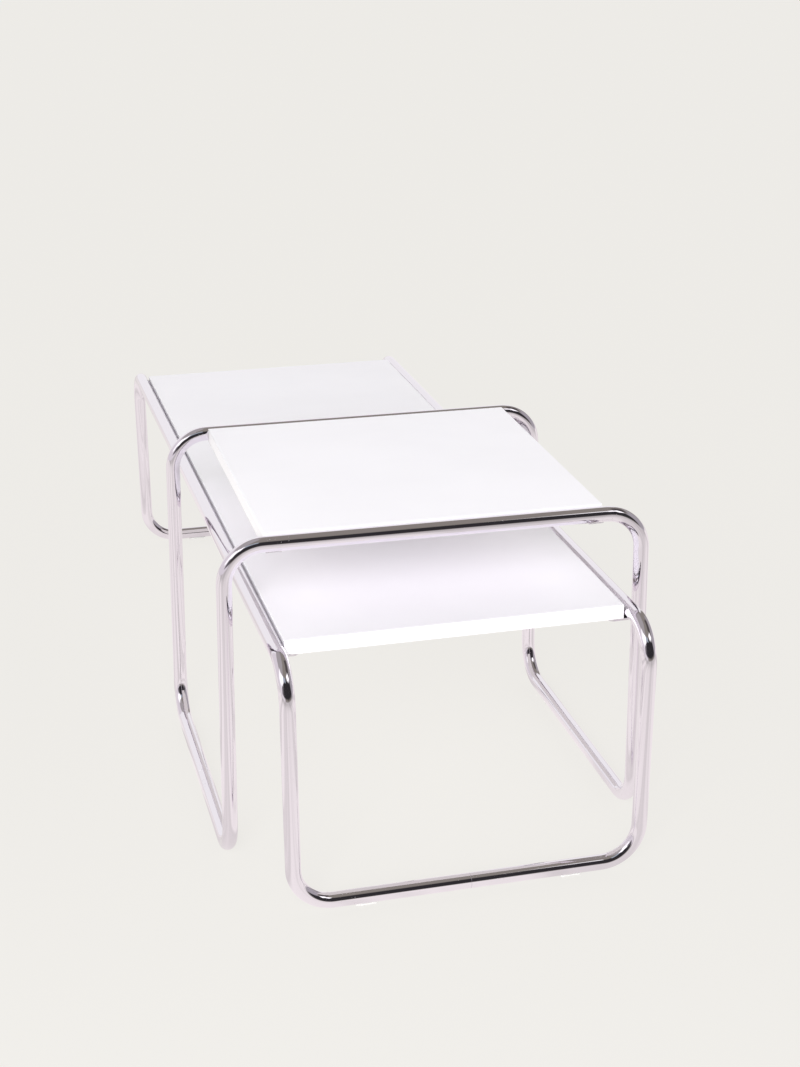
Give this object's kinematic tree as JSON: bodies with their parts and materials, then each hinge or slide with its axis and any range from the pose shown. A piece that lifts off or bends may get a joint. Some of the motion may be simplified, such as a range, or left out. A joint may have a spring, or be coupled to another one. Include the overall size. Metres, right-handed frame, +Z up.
{
  "type": "nesting tables",
  "caption": "Nesting tables with bent chromed steel tube frames and white laminated tops; a tall square table straddles a long low one and slides along it.",
  "frame": {"origin": "on the floor, at the centre of the pair's bounding box as the tables stand nested", "axes": "+Z up, +Y along the low table towards the end that sticks out furthest past the tall table, +X to the right seen from the short end"},
  "size_m": [0.5754, 1.35, 0.45],
  "materials": {
    "chrome_tube": "bright polished chrome plate on bent steel tube",
    "chrome_tab": "chrome plate over welded flat steel, slightly duller than the tube",
    "white_laminate": "smooth white laminate with a soft satin sheen",
    "white_edge_band": "satin white edge band",
    "backing_laminate": "matt off-white backing laminate",
    "particle_board": "raw pressed wood particles",
    "zinc_steel": "bright zinc plated steel",
    "black_steel": "black oxide steel",
    "clear_plastic": "milky translucent plastic"
  },
  "bodies": {
    "low_table": {"low_backing_laminate": "backing_laminate", "low_board_core": "particle_board", "low_edge_band_back": "white_edge_band", "low_edge_band_front": "white_edge_band", "low_edge_band_left": "white_edge_band", "low_edge_band_right": "white_edge_band", "low_frame_left": "chrome_tube", "low_frame_right": "chrome_tube", "low_glide_back_left": "clear_plastic", "low_glide_back_right": "clear_plastic", "low_glide_front_left": "clear_plastic", "low_glide_front_right": "clear_plastic", "low_joint_spigot_back": "zinc_steel", "low_joint_spigot_front": "zinc_steel", "low_set_screw_back_left": "black_steel", "low_set_screw_back_right": "black_steel", "low_set_screw_front_left": "black_steel", "low_set_screw_front_right": "black_steel", "low_tab_left_back": "chrome_tab", "low_tab_left_front": "chrome_tab", "low_tab_left_middle": "chrome_tab", "low_tab_right_back": "chrome_tab", "low_tab_right_front": "chrome_tab", "low_tab_right_middle": "chrome_tab", "low_tab_screw_left_back": "zinc_steel", "low_tab_screw_left_front": "zinc_steel", "low_tab_screw_left_middle": "zinc_steel", "low_tab_screw_right_back": "zinc_steel", "low_tab_screw_right_front": "zinc_steel", "low_tab_screw_right_middle": "zinc_steel", "low_top_laminate": "white_laminate"},
    "tall_table": {"tall_backing_laminate": "backing_laminate", "tall_board_core": "particle_board", "tall_edge_band_back": "white_edge_band", "tall_edge_band_front": "white_edge_band", "tall_edge_band_left": "white_edge_band", "tall_edge_band_right": "white_edge_band", "tall_frame_back": "chrome_tube", "tall_frame_front": "chrome_tube", "tall_glide_left_back": "clear_plastic", "tall_glide_left_front": "clear_plastic", "tall_glide_right_back": "clear_plastic", "tall_glide_right_front": "clear_plastic", "tall_joint_spigot_left": "zinc_steel", "tall_joint_spigot_right": "zinc_steel", "tall_set_screw_left_back": "black_steel", "tall_set_screw_left_front": "black_steel", "tall_set_screw_right_back": "black_steel", "tall_set_screw_right_front": "black_steel", "tall_tab_back_left": "chrome_tab", "tall_tab_back_right": "chrome_tab", "tall_tab_front_left": "chrome_tab", "tall_tab_front_right": "chrome_tab", "tall_tab_screw_back_left": "zinc_steel", "tall_tab_screw_back_right": "zinc_steel", "tall_tab_screw_front_left": "zinc_steel", "tall_tab_screw_front_right": "zinc_steel", "tall_top_laminate": "white_laminate"}
  },
  "joints": [
    {"name": "nest_slide", "type": "slide", "parent": "low_table", "child": "tall_table", "axis": [0, 1, 0], "range_m": [-0.65, 1.25]}
  ]
}
